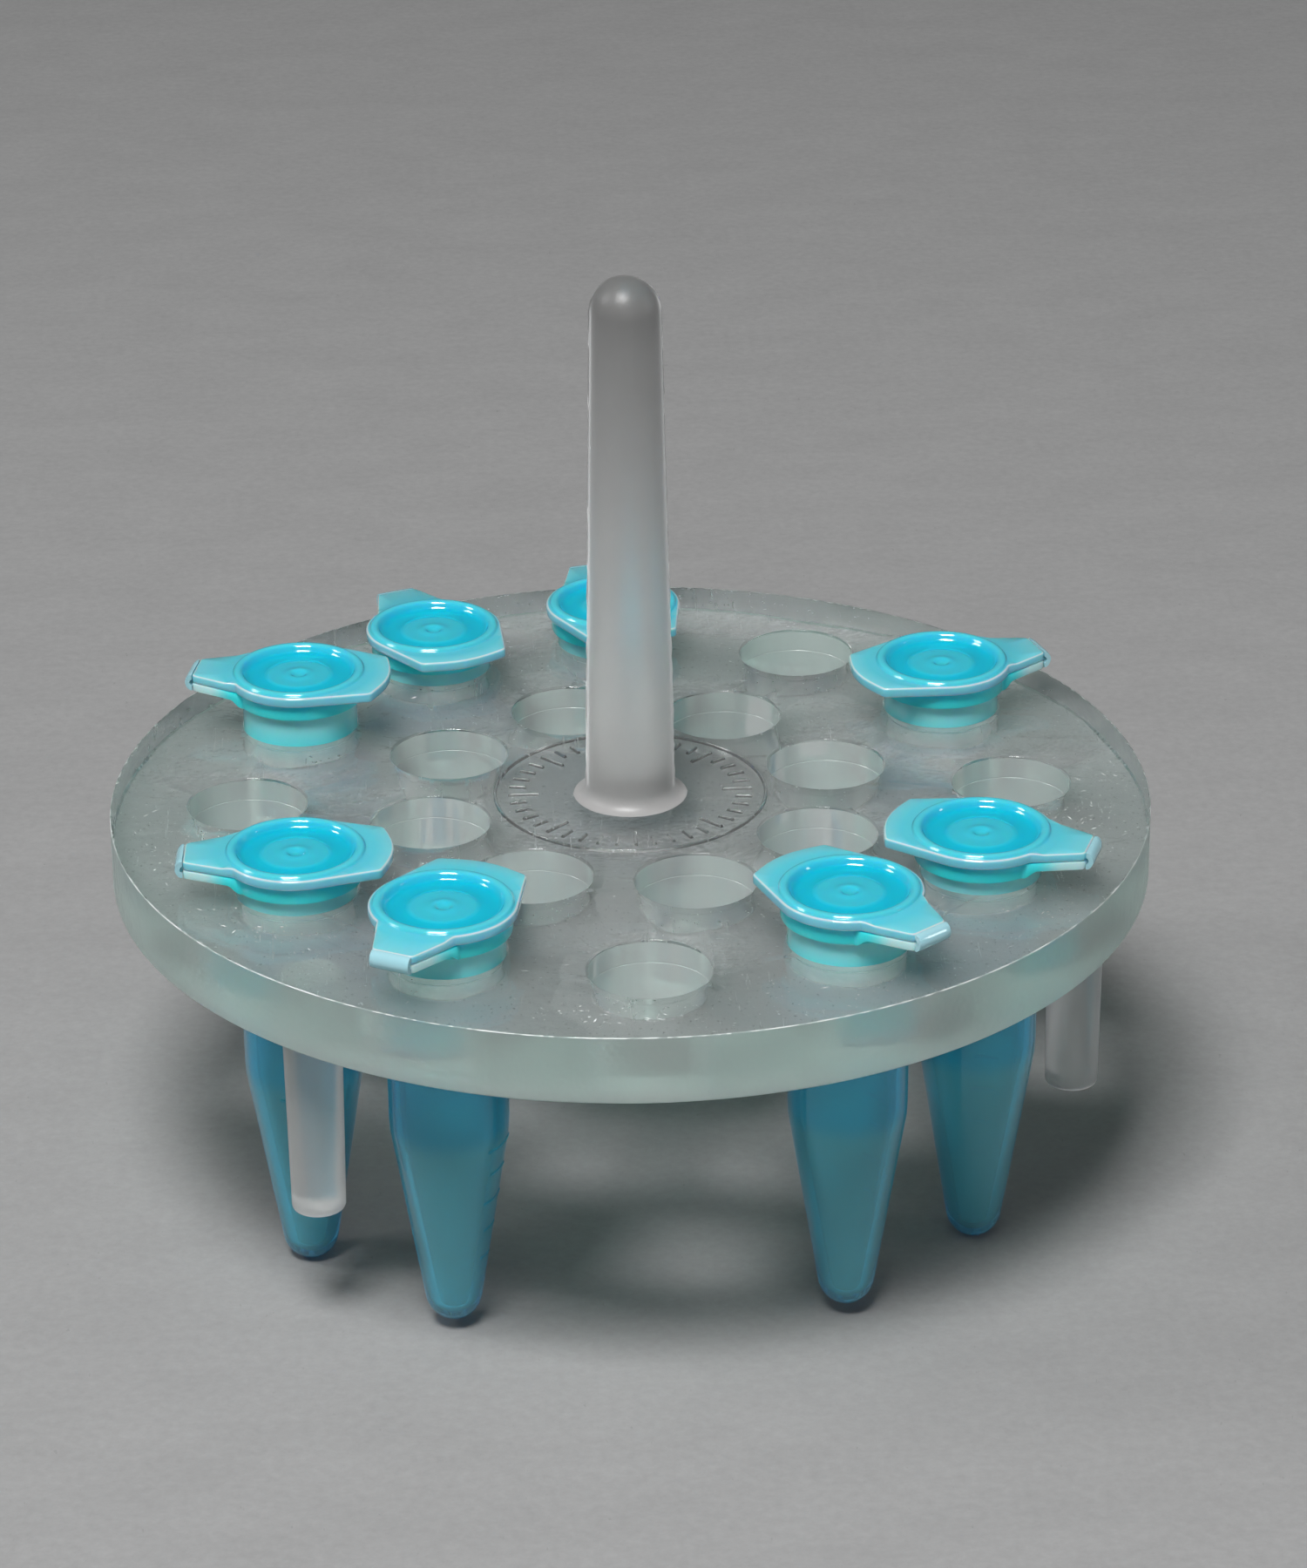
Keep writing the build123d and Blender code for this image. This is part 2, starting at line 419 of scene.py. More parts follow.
def make_plate(top_mat, rim_mat, bottom_mat, wall_mat, chip_mat):
    """The clear plate: flat faces with twenty places, broken edges with small chips, sawn rim."""
    rim_count, hole_count, bevel = 720, 96, 0.22
    top_kind, rim_kind, bottom_kind, wall_kind, chip_kind = range(5)
    centres = place_centres()
    rim_angles = even_angles(rim_count)
    chips = []
    for t in rim_angles:
        spot = Vector((math.cos(t), math.sin(t), 0)) * 40
        wide, small = noise.noise(spot * 1.7), noise.noise(spot * 6.0)
        chips.append(0.05 + 0.45 * max(0.0, wide - 0.22) + 0.26 * max(0.0, small))
    points, faces, kinds = [], [], []

    def loop_at(centre, radii, angles, height):
        start = len(points)
        radii = np.broadcast_to(np.asarray(radii, float), (len(angles),))
        for r, t in zip(radii, angles):
            points.append((centre[0] + r * math.cos(t), centre[1] + r * math.sin(t), height))
        return list(range(start, len(points)))

    def bridge(low, high, kind, flip=False):
        for i in range(len(low)):
            j = (i + 1) % len(low)
            quad = (low[i], low[j], high[j], high[i])
            faces.append(tuple(reversed(quad)) if flip else quad)
            kinds.append(kind)

    def kind_of_wall(centre):
        """Places that hold a tube are rubbed by it, and let its blue through like the sawn rim."""
        return wall_kind if centre in centres[:len(empty_places)] else rim_kind

    hole_angles = even_angles(hole_count)
    for z, side, inward in ((PLATE_TOP, 1, chips), (PLATE_BOTTOM, -1, [bevel] * rim_count)):
        face_kind = top_kind if side > 0 else bottom_kind
        flat_rim = PLATE_RADIUS - np.array(inward)
        outer = loop_at((0, 0), flat_rim, rim_angles, z)
        edge = loop_at((0, 0), PLATE_RADIUS, rim_angles, z - side * np.mean(inward) * 0.9)
        bridge(outer, edge, rim_kind)
        if side > 0:
            kinds[-rim_count:] = [chip_kind if chip > 0.055 else rim_kind for chip in chips]
        holes = [loop_at(c, PLACE_RADIUS + bevel, hole_angles, z) for c in centres]
        flat_loops = [[points[i][:2] for i in loop] for loop in [outer, *holes]]
        made, triangles = flat_with_holes(flat_loops[0], flat_loops[1:])
        order = [i for loop in [outer, *holes] for i in loop]
        for tri in triangles:
            middle = sum((made[i] for i in tri), Vector((0, 0))) / 3
            if any((middle - Vector(c)).length < PLACE_RADIUS + bevel - 0.02 for c in centres):
                continue
            ids = tuple(order[i] for i in tri)
            faces.append(ids if side > 0 else tuple(reversed(ids)))
            kinds.append(face_kind)
        lips = []
        for c, loop in zip(centres, holes):
            lip = loop
            for turn in np.radians((22.5, 45, 67.5, 90)):
                out = bevel * (1 - math.sin(turn))
                down = bevel * (1 - math.cos(turn))
                lower = loop_at(c, PLACE_RADIUS + out, hole_angles, z - side * down)
                bridge(lip, lower, face_kind, flip=side > 0)
                lip = lower
            if side > 0:
                steps = (
                    (bevel + 0.15, 0), (STEP_DEPTH - 0.3, 0), (STEP_DEPTH - 0.05, 0), (STEP_DEPTH, 0.04),
                    (STEP_DEPTH + 0.05, 0), (STEP_DEPTH + 0.3, 0), (z - PLATE_BOTTOM - bevel - 0.15, 0),
                )
                for depth, step in steps:
                    lower = loop_at(c, PLACE_RADIUS + step, hole_angles, z - depth)
                    bridge(lip, lower, kind_of_wall(c), flip=True)
                    lip = lower
            lips.append(lip)
        if side > 0:
            top_edge, top_lips = edge, lips
        else:
            bridge(edge, top_edge, rim_kind)
            for c, low, high in zip(centres, lips, top_lips):
                bridge(low, high, kind_of_wall(c), flip=True)
    mesh = bpy.data.meshes.new("rack_plate_body")
    mesh.from_pydata([(x * MM, y * MM, z * MM) for x, y, z in points], [], faces)
    for face, kind in zip(mesh.polygons, kinds):
        face.material_index = kind
    finish_mesh(mesh, 30)
    plate = new_object("clear_rack_plate", mesh)
    for mat in (top_mat, rim_mat, bottom_mat, wall_mat, chip_mat):
        mesh.materials.append(mat)
    mark_flat_borders(mesh)
    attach(plate, "rack")
    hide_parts("rack_plate")


def mark_flat_borders(mesh):
    """Keep the big flat faces truly flat in shading: their borders are sharp."""
    work = bmesh.new()
    work.from_mesh(mesh)
    for edge in work.edges:
        up = [abs(face.normal.z) > 0.9999 for face in edge.link_faces]
        if len(up) == 2 and up[0] != up[1]:
            edge.smooth = False
    work.to_mesh(mesh)
    work.free()


def make_marks(mat):
    """The moulded guide ring round the handle, with plain short ticks inside it."""
    work = bmesh.new()
    ring_radius, ring_width, height = 12.4, 0.34, 0.24
    angles = even_angles(240)

    def band(radii_heights):
        loops = [
            [work.verts.new((r * math.cos(t) * MM, r * math.sin(t) * MM, z * MM)) for t in angles]
            for r, z in radii_heights
        ]
        for a, b in zip(loops, loops[1:] + loops[:1]):
            for i in range(len(a)):
                j = (i + 1) % len(a)
                work.faces.new((a[i], a[j], b[j], b[i]))

    floor = PLATE_TOP + 0.002
    half = ring_width / 2
    band([
        (ring_radius - half, floor), (ring_radius + half, floor),
        (ring_radius + half * 0.8, floor + height * 0.7), (ring_radius + half * 0.4, floor + height),
        (ring_radius - half * 0.4, floor + height), (ring_radius - half * 0.8, floor + height * 0.7),
    ])
    tick_count, outer, width = 40, 11.2, 0.34
    for i in range(tick_count):
        turn = Matrix.Rotation(2 * math.pi * i / tick_count, 4, "Z")
        inner = 9.6 if i % 5 else 8.4
        corners = []
        for z, shrink in ((floor, 0), (floor + height, 0.1)):
            for x, y in ((inner, -1), (outer, -1), (outer, 1), (inner, 1)):
                step = shrink if x == inner else -shrink
                spot = Vector(((x + step), y * (width / 2 - shrink), z)) * MM
                corners.append(work.verts.new(turn @ spot))
        low, high = corners[:4], corners[4:]
        work.faces.new(reversed(low))
        work.faces.new(high)
        for a in range(4):
            b = (a + 1) % 4
            work.faces.new((low[a], low[b], high[b], high[a]))
    mesh = bpy.data.meshes.new("moulded_marks")
    work.to_mesh(mesh)
    work.free()
    finish_mesh(mesh)
    mesh.materials.append(mat)
    marks = new_object("moulded_marks", mesh)
    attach(marks, "rack")


def make_nicks(mat):
    """Small white nicks in the plate's top, thickest near the rim at both sides and in front."""
    pick = random.Random(5)
    # Direction and distance of each patch's middle, its half spread along and across, and its nicks
    patches = (
        (188, 42.0, 13, 4.0, 90), (-6, 42.5, 14, 3.5, 80), (-94, 43.5, 10, 1.6, 50),
        (217, 41.5, 9, 3.0, 50), (-35, 43.0, 20, 2.5, 50), (90, 30.0, 180, 15.0, 110),
    )
    centres = [Vector(centre) for centre in place_centres()]
    work = bmesh.new()
    for heading, reach, spread, depth, count in patches:
        for _ in range(count):
            turn = math.radians(heading + pick.uniform(-spread, spread))
            spot = Vector((math.cos(turn), math.sin(turn))) * (reach + pick.uniform(-depth, depth))
            length = 0.05 + 0.5 * pick.random() ** 4
            width = pick.uniform(0.02, 0.07)
            height = pick.uniform(0.02, 0.05)
            lie = turn + math.pi / 2 + pick.gauss(0, 0.6)
            near_hole = min((spot - centre).length for centre in centres) < PLACE_RADIUS + 0.7
            if near_hole or not 14 < spot.length < PLATE_RADIUS - 1:
                continue
            along = Vector((math.cos(lie), math.sin(lie), 0)) * length
            across = Vector((-math.sin(lie), math.cos(lie), 0)) * width
            base = Vector((spot.x, spot.y, PLATE_TOP + 0.003))
            feet = [work.verts.new((base + step) * MM) for step in (along, across, -along, -across)]
            peak = work.verts.new((base + along * pick.uniform(-0.4, 0.4) + Vector((0, 0, height))) * MM)
            work.faces.new(reversed(feet))
            for i in range(4):
                work.faces.new((feet[i], feet[(i + 1) % 4], peak))
    mesh = bpy.data.meshes.new("plate_nicks")
    work.to_mesh(mesh)
    work.free()
    mesh.materials.append(mat)
    nicks = new_object("plate_nicks", mesh)
    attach(nicks, "rack")


def make_handle(mat):
    """The frosted post: domed top, slight taper, flared foot and a ragged parting line on both sides."""
    low, high = (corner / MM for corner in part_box("handle"))
    top_radius, foot_radius, foot_fillet, flare = 3.15, 4.0, 1.4, 5.2
    foot = low.z + foot_fillet
    shoulder = high.z - top_radius
    profile = [(0, low.z), (flare, low.z)]
    profile += [
        (
            foot_radius + (flare - foot_radius) * (1 - math.sin(t)),
            low.z + foot_fillet * (1 - math.cos(t)),
        )
        for t in np.radians(np.linspace(12, 90, 8))
    ]
    profile += line((foot_radius, foot), (top_radius, shoulder), 60)
    profile += arc((0, shoulder), top_radius, 3, 88, 20)
    profile.append((0, high.z))
    angles = even_angles(144)
    rings = []
    for radius, height in profile:
        along = 1 - min(1, max(0, (height - shoulder) / top_radius))
        ragged = 0.10 + 0.10 * noise.noise(Vector((0, 3.1, height * 0.8)))
        ragged += 0.08 * noise.noise(Vector((5, 0, height * 3)))
        ridge = np.abs(np.cos(angles)) ** 900 * max(0.02, ragged) * along
        sway = np.array([
            0.05 * noise.noise(Vector((math.cos(t), math.sin(t), height * 0.06)) * 1.4) for t in angles
        ])
        keep = ease(np.array(radius), 0, 2)
        rings.append((radius + (ridge + sway) * keep, height))
    mesh = polar_mesh("handle_body", rings, angles)
    mesh.materials.append(mat)
    handle = new_object("frosted_handle", mesh)
    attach(handle, "rack")
    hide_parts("handle")


def make_legs(mat, end_mat):
    """Short legs, slightly tapered, with a small broken edge and a white sawn face at the end."""
    for number in (1, 2, 3):
        name = f"leg_{number}"
        low, high = (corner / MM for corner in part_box(name))
        centre = (low + high) / 2
        top_radius = (high.x - low.x) / 2
        end_radius = top_radius - 0.25
        length = high.z - low.z - 0.02
        profile = [(0, 0), (end_radius - 0.25, 0), (end_radius - 0.08, 0.06), (end_radius, 0.25)]
        profile += line((end_radius, 0.25), (top_radius, length), 16)
        profile += [(top_radius - 0.1, length), (0, length)]
        mesh = polar_mesh(f"{name}_body", profile, even_angles(72))
        for face in mesh.polygons:
            face.material_index = int(not 0.5 < face.center.z / MM < length - 0.08)
        mesh.transform(Matrix.Translation(Vector((centre.x, centre.y, low.z)) * MM))
        mesh.materials.append(mat)
        mesh.materials.append(end_mat)
        leg = new_object(f"frosted_{name}", mesh)
        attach(leg, "rack")
        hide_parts(name)


# ---------------------------------------------------------------- tubes

def seat_of(name):
    """A tube's place: its tip's point, and the direction that its strap points in, as an angle."""
    number = name.split("_")[1]
    joint = joints[f"cap_{number}_open"]
    fold, axis = Vector(joint["pos_m"]) / MM, Vector(joint["axis"])
    along = Vector((axis.y, -axis.x, 0))
    tip = fold - along * FOLD_REACH
    tip.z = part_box(name)[0].z / MM
    return tip, math.atan2(along.y, along.x)


def seat_matrix(name):
    """Moves a tube drawn at the origin, with its strap along X, to its place."""
    tip, turn = seat_of(name)
    return Matrix.Translation(tip * MM) @ Matrix.Rotation(turn, 4, "Z")


def polygon_reach(corners, angles):
    """How far a convex outline round the axis reaches along each angle, 0 where it doesn't."""
    reach = np.zeros(len(angles))
    for (x0, y0), (x1, y1) in zip(corners, corners[1:] + corners[:1]):
        dx, dy = x1 - x0, y1 - y0
        below = np.cos(angles) * dy - np.sin(angles) * dx
        with np.errstate(divide="ignore", invalid="ignore"):
            distance = (x0 * dy - y0 * dx) / below
            spot = np.where(abs(dx) > abs(dy), (distance * np.cos(angles) - x0) / (dx or 1),
                            (distance * np.sin(angles) - y0) / (dy or 1))
        hit = (distance > 0) & (spot >= -1e-9) & (spot <= 1 + 1e-9)
        reach = np.where(hit, np.maximum(reach, np.nan_to_num(distance)), reach)
    return reach


def strap_corners():
    """The strap's outline, just short of the fold so that an open cap doesn't touch its tube."""
    end = FOLD_REACH - 0.04
    return [
        (STRAP_ROOT_REACH, -STRAP_ROOT_HALF_WIDTH), (end, -FOLD_HALF_WIDTH),
        (end, FOLD_HALF_WIDTH), (STRAP_ROOT_REACH, STRAP_ROOT_HALF_WIDTH),
    ]


def lip_corners():
    """The thumb lip's outline, opposite the strap: straight sides and a slightly bowed end."""
    corner = Vector((-LIP_CORNER_REACH, LIP_HALF_WIDTH))
    lean = math.atan2(corner.y, corner.x) - math.acos(CAP_RADIUS / corner.length)
    touch = Vector((math.cos(lean), math.sin(lean))) * CAP_RADIUS
    bow = [
        (-LIP_CORNER_REACH - LIP_BOW * math.cos(t * math.pi / 2), LIP_HALF_WIDTH * t)
        for t in (0.75, 0.5, 0.25, 0, -0.25, -0.5, -0.75)
    ]
    return [tuple(touch), tuple(corner), *bow, (corner.x, -corner.y), (touch.x, -touch.y)]


def smooth_loop(values, passes):
    """Round the corners of an outline given by its reach at each angle."""
    for _ in range(passes):
        values = (np.roll(values, 1) + 2 * values + np.roll(values, -1)) / 4
    return values


def round_tip(tip, base, radius, height, steps):
    """Points from a round tip's pole up to where the cone through (radius, height) leaves it."""
    centre = base + tip
    rise = height - centre
    lean = math.degrees(math.acos(tip / math.hypot(radius, rise)) - math.atan2(rise, radius))
    return arc((0, centre), tip, -90, -lean, steps)


def set_depth(mesh, depth_at):
    """Store how deep the blue is at each point, 0 to 1, from where the point is in millimetres."""
    values = [float(depth_at(*(v.co / MM))) for v in mesh.vertices]
    mesh.attributes.new("depth", "FLOAT", "POINT").data.foreach_set("value", values)
    return mesh


def make_tube_mesh(angles):
    """A snap-cap tube in one closed surface: outside, collar with the lower strap, mouth and bore."""
    circle_reach = np.full(len(angles), COLLAR_RADIUS)
    outline = smooth_loop(np.maximum(circle_reach, polygon_reach(strap_corners(), angles)), 2)
    on_strap = ease(outline, COLLAR_RADIUS + 0.15, COLLAR_RADIUS + 0.9)
    strap_low = MOUTH - STRAP_GAP - STRAP_THICKNESS
    under = COLLAR_BOTTOM + (strap_low - COLLAR_BOTTOM) * on_strap
    over = MOUTH - STRAP_GAP * on_strap
    rings = round_tip(TIP_RADIUS, 0, SHOULDER_RADIUS, SHOULDER, 14)
    rings += line(rings[-1], (SHOULDER_RADIUS - 0.06, SHOULDER - 0.3), 24)
    rings += line((SHOULDER_RADIUS, SHOULDER), (BARREL_TOP_RADIUS, COLLAR_BOTTOM - 0.35), 20)
    rings += [
        (BARREL_TOP_RADIUS + 0.05, COLLAR_BOTTOM - 0.12),
        (BARREL_TOP_RADIUS + 0.2, COLLAR_BOTTOM),
        (COLLAR_RADIUS - 0.18, COLLAR_BOTTOM),
        (np.minimum(outline - 0.14, COLLAR_RADIUS + 0.1), COLLAR_BOTTOM + 0.35 * on_strap),
        (np.minimum(outline - 0.14, COLLAR_RADIUS + 0.6), under),
        (outline - 0.14, under), (outline - 0.03, under + 0.05), (outline, under + 0.16),
        (outline, over - 0.14), (outline - 0.04, over - 0.04), (outline - 0.15, over),
        (np.minimum(outline - 0.15, COLLAR_RADIUS + 0.5), over),
        (COLLAR_RADIUS - 0.3, MOUTH), (4.95, MOUTH), (4.8, MOUTH - 0.05), (4.66, MOUTH - 0.18),
        (BORE_MOUTH_RADIUS, MOUTH - 0.45),
    ]
    bore = round_tip(BORE_TIP_RADIUS, TIP_WALL, BORE_SHOULDER_RADIUS, SHOULDER, 10)
    rings += line((BORE_MOUTH_RADIUS, MOUTH - 0.45), (BORE_SHOULDER_RADIUS, SHOULDER), 16)
    rings += line((BORE_SHOULDER_RADIUS, SHOULDER), bore[-1], 16)
    rings += bore[-2::-1]
    mesh = polar_mesh("tube_body", rings, angles)
    for face in mesh.polygons:
        # From that height up the tube wears the paler, glowing copy of its plastic: painted light where the plate
        # and the cap would shade it
        face.material_index = int(face.center.z / MM > GLOW_PAINTED_FROM)

    def depth(x, y, z):
        # Within that painted-glow part the blue is set deeper in the plate, above it and on the collar: painted
        # light there too
        on_collar = ease(z, COLLAR_BOTTOM - 0.3, COLLAR_BOTTOM + 0.1)
        on_barrel = 0.25 * ease(z, SHOULDER - 0.5, SHOULDER + 0.2) * (1 - 0.8 * ease(z, 26, 31))
        in_plate = 0.4 * ease(z, 31.1, 31.4) * (1 - ease(z, 35.8, 37.2))
        over_plate = 0.2 * ease(z, 35.8, 37.2)
        on_strap = 0.6 * ease(math.hypot(x, y), 6.6, 9.0)
        return 0.5 + on_barrel + in_plate + over_plate + on_collar * (0.25 - on_strap)

    return set_depth(mesh, depth)


def make_ticks_mesh():
    """Plain raised graduation ticks, one above the other on the cone."""
    work = bmesh.new()
    steps, relief, half_height = 8, 0.09, 0.16
    slope = (SHOULDER_RADIUS - TIP_RADIUS) / (SHOULDER - TIP_RADIUS * 1.15)
    for height, half_turn in ((7.0, 16), (10.0, 16), (13.0, 22), (16.0, 16), (18.6, 22)):
        loops = []
        for turn in np.radians(90 + np.linspace(-half_turn, half_turn, steps)):
            section = []
            for out, up in ((0.004, -1), (relief, -0.5), (relief, 0.5), (0.004, 1)):
                z = height + up * half_height
                radius = SHOULDER_RADIUS - (SHOULDER - z) * slope + 0.02 + out
                spot = Vector((math.cos(turn) * radius, math.sin(turn) * radius, z))
                section.append(work.verts.new(spot * MM))
            loops.append(section)
        for a, b in zip(loops, loops[1:]):
            for i in range(4):
                j = (i + 1) % 4
                work.faces.new((a[i], a[j], b[j], b[i]))
        work.faces.new(reversed(loops[0]))
        work.faces.new(loops[-1])
    mesh = bpy.data.meshes.new("ticks_body")
    work.to_mesh(mesh)
    work.free()
    finish_mesh(mesh)
    return set_depth(mesh, lambda x, y, z: 0.8)


def make_cap_mesh(angles):
    """A snap cap in one closed surface: dished top, rim, ledge with lip and strap, plug."""
    base = np.full(len(angles), CAP_RADIUS)
    lip = polygon_reach(lip_corners(), angles)
    strap = polygon_reach(strap_corners(), angles)
    outline = smooth_loop(np.maximum(base, np.maximum(lip, strap)), 2)
    strap_side = np.cos(angles) > 0
    on_strap = ease(outline, CAP_RADIUS + 0.1, CAP_RADIUS + 0.9) * strap_side
    ledge = CAP_BOTTOM + 0.95 - 0.17 * on_strap
    under = CAP_BOTTOM - 0.02 * on_strap
    top = [
        (0, 0.40), (0.2, 0.405), (0.4, 0.44), (0.58, 0.54), (0.72, 0.64), (0.86, 0.69), (1.05, 0.70),
        (1.25, 0.68), (1.5, 0.63), (1.8, 0.61), (2.3, 0.60), (2.75, 0.61), (2.95, 0.60), (3.1, 0.55),
        (3.3, 0.51), (3.8, 0.50), (4.4, 0.50), (4.75, 0.53), (4.95, 0.60), (5.08, 0.72), (5.2, 0.92),
        (5.3, 1.08), (5.42, 1.19), (5.58, 1.245), (5.75, 1.25), (5.9, 1.235), (6.02, 1.18),
        (6.1, 1.08), (6.14, 1.0),
    ]
    rings = [(r, CAP_BOTTOM + z) for r, z in top]
    rings += [
        (6.2, CAP_BOTTOM + 0.955), (np.minimum(outline - 0.2, 6.25), CAP_BOTTOM + 0.95),
        (np.minimum(outline - 0.2, 7.0), ledge), (outline - 0.2, ledge), (outline - 0.12, ledge - 0.02),
        (outline - 0.055, ledge - 0.06), (outline - 0.015, ledge - 0.12), (outline, ledge - 0.2),
        (outline, under + 0.2), (outline - 0.015, under + 0.12), (outline - 0.055, under + 0.06),
        (outline - 0.12, under + 0.02), (outline - 0.2, under),
        (np.minimum(outline - 0.2, 7.0), under), (6.3, CAP_BOTTOM), (4.75, CAP_BOTTOM),
    ]
    plug = [
        (4.56, -0.05), (4.5, -0.16), (4.5, -0.5), (4.49, -1.0), (4.46, -1.5), (4.38, -2.1), (4.28, -2.55),
        (4.18, -2.76), (4.02, -2.85), (3.8, -2.85), (3.66, -2.79), (3.6, -2.65), (3.6, -1.5), (3.6, -0.3),
        (3.55, -0.1), (3.4, 0.0), (2.0, 0.0), (0.9, 0.02), (0, 0.02),
    ]
    rings += [(r, CAP_BOTTOM + z) for r, z in plug]
    mesh = polar_mesh("cap_body", rings, angles)
    for face in mesh.polygons:
        face.material_index = int(math.hypot(face.center.x, face.center.y) / MM > CAP_RADIUS - 0.25)

    def depth(x, y, z):
        reach = math.hypot(x, y)
        edge = np.interp(math.atan2(y, x) % (2 * math.pi), angles, outline) - reach
        dish = 1 - 0.25 * (1 - ease(reach, 2.6, 3.4)) - 0.5 * ease(reach, 4.8, 5.7)
        # Close to the outline the colour turns to the near-white edge shade: a painted glow and highlight along
        # the cap's edges
        corner = (1 - ease(edge, 0.10, 0.24)) * (0.2 + 0.8 * ease(edge, 0.0, 0.04))
        return dish - 0.5 * corner if z > CAP_BOTTOM - 0.1 else 0.8

    return set_depth(mesh, depth)


def make_hinge_mesh():
    """The bent web round the fold line: a thin rounded strip with a slightly flattened nose."""
    half_width, columns = 1.82, 13
    thick = STRAP_THICKNESS + STRAP_GAP
    outside = [
        (0.0, thick), (0.22, thick - 0.03), (0.46, thick - 0.17), (0.66, thick - 0.45), (0.74, 0.12),
        (0.74, -0.12), (0.66, -thick + 0.45), (0.46, -thick + 0.17), (0.22, -thick + 0.03), (0.0, -thick),
    ]
    inside = [(0.0, -0.35), (0.14, -0.28), (0.26, -0.1), (0.26, 0.1), (0.14, 0.28), (0.0, 0.35)]
    section = outside + inside
    work = bmesh.new()
    loops = []
    for i in range(columns):
        across = -half_width + 2 * half_width * i / (columns - 1)
        pull = 0.12 * (abs(across) / half_width) ** 8
        loop = [
            work.verts.new((
                (FOLD_REACH + x * (1 - pull)) * MM, across * MM, (MOUTH + z * (1 - pull * 0.4)) * MM,
            ))
            for x, z in section
        ]
        loops.append(loop)
    for a, b in zip(loops, loops[1:]):
        for i in range(len(section)):
            j = (i + 1) % len(section)
            work.faces.new((a[i], a[j], b[j], b[i]))
    work.faces.new(loops[0])
    work.faces.new(list(reversed(loops[-1])))
    mesh = bpy.data.meshes.new("hinge_body")
    work.to_mesh(mesh)
    work.free()
    finish_mesh(mesh, 40)
    return set_depth(mesh, lambda x, y, z: 0.0)


def make_tubes(tube_mat, barrel_glow_mat, cap_mat, thin_glow_mat, hinge_mat):
    """Every tube with its cap and hinge, set in its place."""
    angles = even_angles(TURNS)
    masters = (make_tube_mesh(angles), make_cap_mesh(angles), make_hinge_mesh(), make_ticks_mesh())
    coats = (tube_mat, barrel_glow_mat), (cap_mat, thin_glow_mat), (hinge_mat,), (tube_mat,)
    for mesh, mats in zip(masters, coats):
        for mat in mats:
            mesh.materials.append(mat)
    for name in TUBES:
        number = name.split("_")[1]
        place = seat_matrix(name)
        pieces = []
        for label, master in zip(("tube", "cap", "hinge", "ticks"), masters):
            mesh = master.copy()
            mesh.transform(place)
            pieces.append(new_object(f"blue_{label}_{number}", mesh))
        tube, cap, hinge, ticks = pieces
        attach(tube, f"tube_{number}")
        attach(ticks, f"tube_{number}")
        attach(cap, f"cap_{number}")
        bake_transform(hinge)
        for piece, label in zip(pieces[:3], ("tube", "cap", "hinge")):
            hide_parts(f"{label}_{number}")
    for master in masters:
        bpy.data.meshes.remove(master)


# ---------------------------------------------------------------- stage, light and camera

def make_floor():
    """A wide plain pale floor."""
    mesh = bpy.data.meshes.new("floor")
    reach = 6.0
    corners = [(-reach, -reach, 0), (reach, -reach, 0), (reach, reach, 0), (-reach, reach, 0)]
    mesh.from_pydata(corners, [], [(0, 1, 2, 3)])
    mesh.materials.append(paper_material())
    floor = new_object("floor", mesh)


def area_light(name, place, size, watts):
    """A soft box that faces the rack."""
    data = bpy.data.lights.new(name, "AREA")
    data.shape = "RECTANGLE"
    data.size, data.size_y = size
    data.energy = watts
    light = bpy.data.objects.new(name, data)
    light.location = place
    target = Vector((0, 0, 0.03))
    light.rotation_euler = (target - Vector(place)).to_track_quat("-Z", "Y").to_euler()
    bpy.context.scene.collection.objects.link(light)


def make_light():
    """A soft box high in front, a smaller one on the left, two weak low ones and a dim room."""
    area_light("front_high", (-0.16, -0.47, 1.02), (0.36, 0.36), 13.8)
    area_light("left", (-0.85, 0.05, 0.65), (0.25, 0.25), 2.0)
    area_light("right_low", (0.85, -0.15, 0.30), (0.10, 0.30), 0.5)
    area_light("fill", (0.25, -1.0, 0.35), (0.8, 0.4), 0.9)
    world = bpy.data.worlds.new("room")
    world.use_nodes = True
    background = world.node_tree.nodes["Background"]
    background.inputs["Color"].default_value = (0.5, 0.5, 0.5, 1)
    background.inputs["Strength"].default_value = 0.125
    bpy.context.scene.world = world


def make_camera():
    """A long lens in front of the rack, a little above it, at the viewing angle wanted."""
    eye = Vector((-18.6, -431.5, 207.0 + PLATE_TOP)) * MM
    heading, pitch, roll = math.radians(87.25), math.radians(25.52), 0.0088
    forward = Vector((
        math.cos(heading) * math.cos(pitch), math.sin(heading) * math.cos(pitch), -math.sin(pitch),
    ))
    right = forward.cross(Vector((0, 0, 1))).normalized()
    down = forward.cross(right)
    rolled_right = math.cos(roll) * right + math.sin(roll) * down
    rolled_down = math.cos(roll) * down - math.sin(roll) * right
    data = bpy.data.cameras.new("camera")
    data.sensor_width = 36
    data.lens = 120
    data.clip_start, data.clip_end = 0.01, 50
    camera = bpy.data.objects.new("camera", data)
    turn = Matrix((rolled_right, -rolled_down, -forward)).transposed().to_4x4()
    camera.matrix_world = Matrix.Translation(eye) @ turn
    bpy.context.scene.collection.objects.link(camera)
    bpy.context.scene.camera = camera


# ---------------------------------------------------------------- the whole

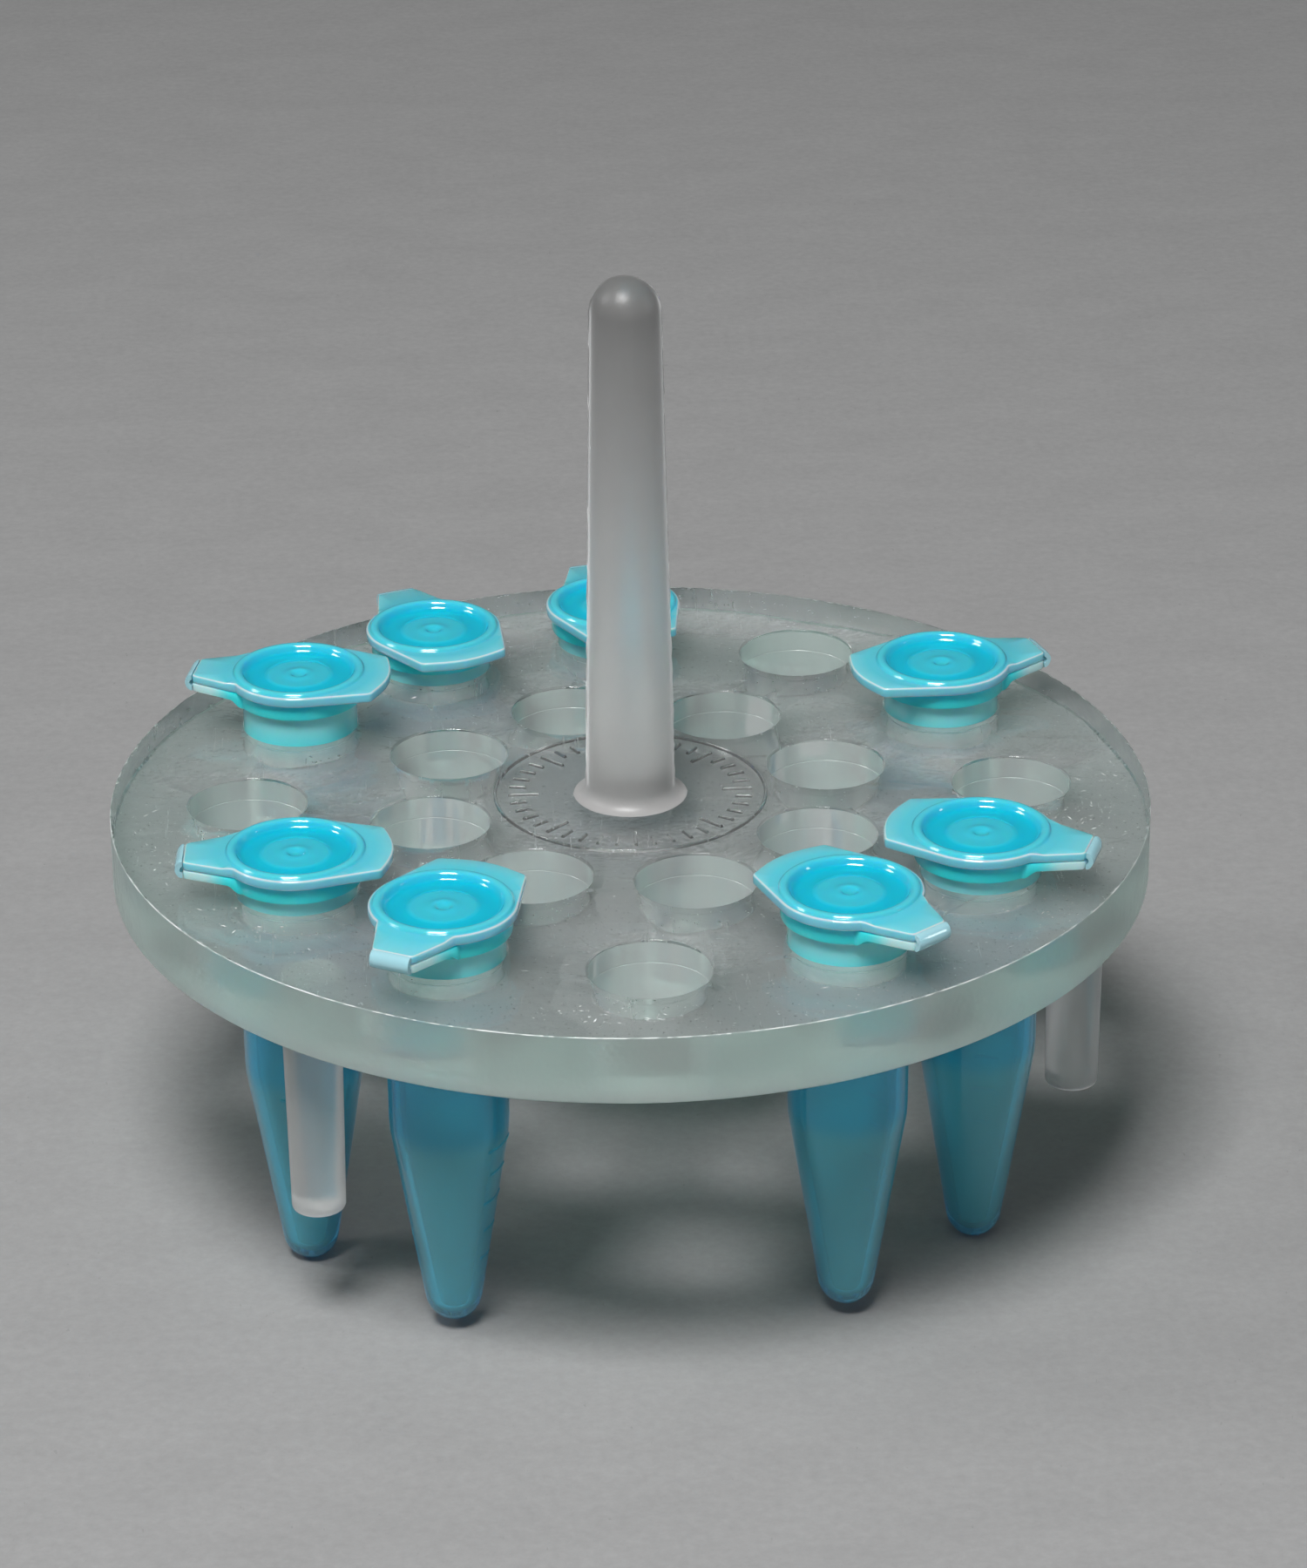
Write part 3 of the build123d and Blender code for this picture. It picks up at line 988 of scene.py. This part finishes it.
clear_top = clear_top_material()
wall_clear = wall_material()
rim_clear = frosted_material(
    "clear_plastic_rim", (0.97, 0.995, 0.985),
    roughness=0.33, grain=3.0, clearness=0.82, relief=0.2, in_plate=True,
)
bottom_clear = frosted_material(
    "clear_plastic_bottom", (0.74, 0.74, 0.74), roughness=0.30, grain=3.0, clearness=0.48, in_plate=True,
)
chipped = frosted_material(
    "clear_plastic_chipped", (0.98, 0.98, 0.98),
    roughness=0.4, grain=6.0, clearness=0.35, relief=0.8, in_plate=True,
)
white_nick = frosted_material(
    "clear_plastic_nicked", (0.98, 0.98, 0.98), roughness=0.5, grain=6.0, clearness=0.0, relief=0.8,
)
# The handle's tint is darker towards its domed top: painted shade
frosted = frosted_material(
    "frosted_plastic", (0.99, 0.98, 0.97),
    roughness=0.40, grain=4.0, clearness=0.66, painted_top_shade=(46, 85, 0.36), haze=1.0,
)
leg_clear = frosted_material(
    "frosted_plastic_leg", (0.98, 0.985, 0.98), roughness=0.34, grain=2.0, clearness=0.80, relief=0.12,
)
sawn = frosted_material(
    "frosted_plastic_sawn", (0.98, 0.98, 0.98), roughness=0.6, grain=6.0, clearness=0.10, relief=0.8,
)

# Each set of shades is for the thin edges, the pale parts and the deep parts; the near-white edge shades on the
# caps are a painted glow and highlight along their outline
blue_tube = blue_material(
    "blue_plastic_tube", ((0.38, 1.0, 1.0), (0.40, 1.0, 0.97), (0.0, 0.76, 1.0)),
    inside=(0.0, 0.84, 1.0), density=1100, roughness=0.07, clearness=0.79,
    glow=0.0, gloss=0.12, haze=1.0, shine=0.12,
)
# The tube's upper part, in and above the plate and the collar: a paler, glowing copy of the tube plastic, painted
# light
blue_barrel_painted_glow = blue_material(
    "blue_plastic_barrel_painted_glow", ((0.60, 0.92, 1.0), (0.60, 0.91, 0.98), (0.05, 0.86, 1.0)),
    inside=(0.0, 0.86, 1.0), density=260, roughness=0.14, clearness=0.14, glow=0.8, gloss=0.3,
)
blue_cap = blue_material(
    "blue_plastic_cap", ((0.70, 0.98, 1.0), (0.13, 0.81, 1.0), (0.0, 0.71, 1.0)),
    inside=(0.0, 0.84, 1.0), density=280, roughness=0.10, clearness=0.36, glow=1.0, gloss=1.0,
)
# Ledge, lip and strap: their near-white edge shade is a painted glow and highlight along the outline
blue_thin_edge_glow = blue_material(
    "blue_plastic_thin_edge_glow", ((0.85, 1.0, 1.0), (0.16, 0.82, 1.0), (0.0, 0.72, 1.0)),
    inside=(0.0, 0.86, 1.0), density=240, roughness=0.08, clearness=0.36, glow=0.8, gloss=1.0,
)
blue_hinge = blue_material(
    "blue_plastic_hinge", ((0.55, 0.92, 1.0), (0.55, 0.92, 1.0), (0.1, 0.6, 0.8)),
    inside=(0.1, 0.9, 1.0), density=80, roughness=0.15, clearness=0.40, glow=0.0, gloss=1.0,
)

make_plate(clear_top, rim_clear, bottom_clear, wall_clear, chipped)
make_marks(clear_top)
make_nicks(white_nick)
make_handle(frosted)
make_legs(leg_clear, sawn)
make_tubes(blue_tube, blue_barrel_painted_glow, blue_cap, blue_thin_edge_glow, blue_hinge)
make_floor()
make_light()
make_camera()
bpy.context.scene.view_settings.view_transform = "Standard"
